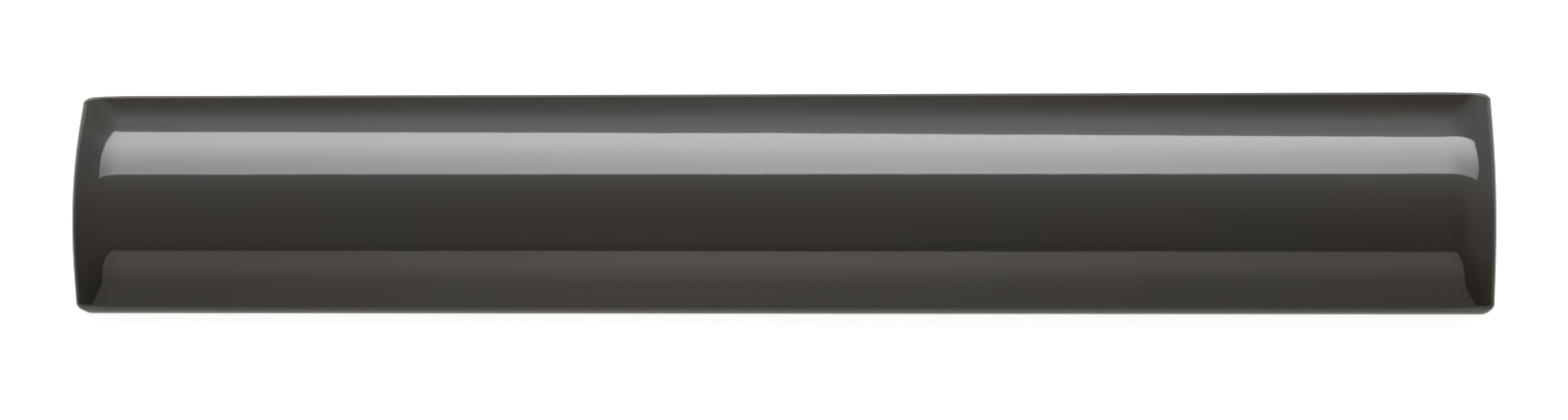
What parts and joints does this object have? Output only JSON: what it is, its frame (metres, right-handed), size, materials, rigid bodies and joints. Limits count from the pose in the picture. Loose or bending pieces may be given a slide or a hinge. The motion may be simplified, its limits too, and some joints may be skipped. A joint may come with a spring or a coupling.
{
  "type": "bullnose tile",
  "caption": "Long narrow bullnose trim tile with a domed glossy face, rolled ends and sides, and a flat back with shallow keying grooves.",
  "frame": {"origin": "middle of the flat back, where the tile beds on the wall or lies on a table", "axes": "+X along the tile's length, +Y across its width, +Z out of the glazed face"},
  "size_m": [0.152, 0.0234, 0.008],
  "materials": {
    "glazed_clay": "gloss"
  },
  "bodies": {
    "root": {"bullnose_tile": "glazed_clay"}
  },
  "joints": []
}
